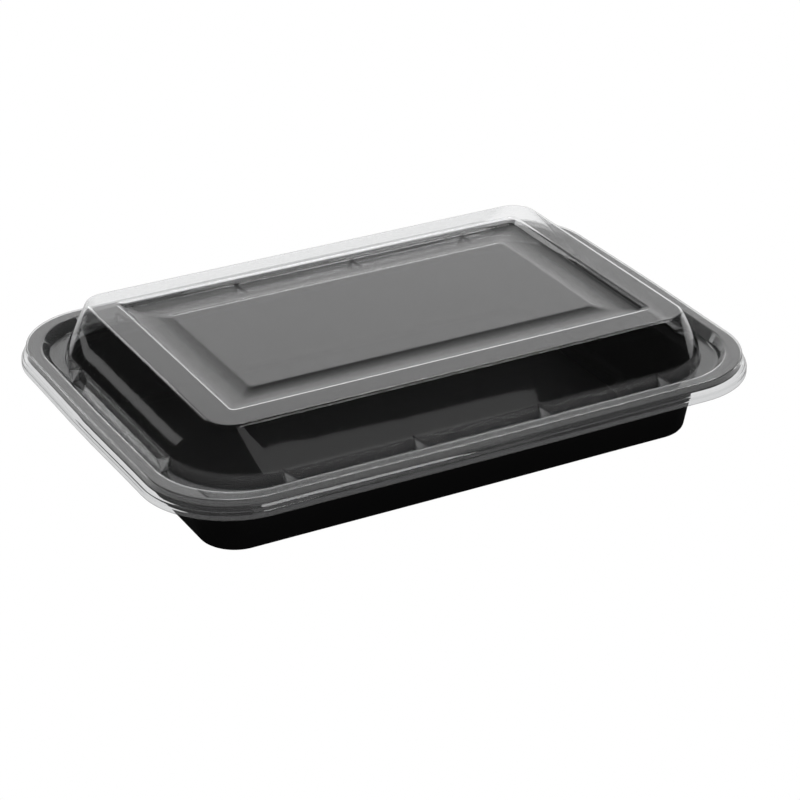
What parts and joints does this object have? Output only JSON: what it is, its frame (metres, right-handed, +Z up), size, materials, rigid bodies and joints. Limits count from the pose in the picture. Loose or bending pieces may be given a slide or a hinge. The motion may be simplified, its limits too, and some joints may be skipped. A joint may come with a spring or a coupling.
{
  "type": "takeaway meal container",
  "caption": "Empty rectangular takeaway meal container: a shallow black plastic tray with a broad rim, shut by a clear press-on lid with a raised flat top and a grooved centre panel.",
  "frame": {"origin": "centre of the tray's base, on the surface it stands on", "axes": "+Z up, +X along the long side, +Y along the short side"},
  "size_m": [0.2268, 0.1604, 0.045],
  "materials": {
    "black_plastic": "black moulded polypropylene with a soft gloss",
    "clear_plastic": "clear, faintly milky moulded polypropylene"
  },
  "bodies": {
    "tray": {"tray": "black_plastic"},
    "lid": {"lid": "clear_plastic"}
  },
  "joints": [
    {"name": "lid_lift", "type": "slide", "parent": "tray", "child": "lid", "axis": [0, 0, 1], "range_m": [0, 0.06]}
  ]
}
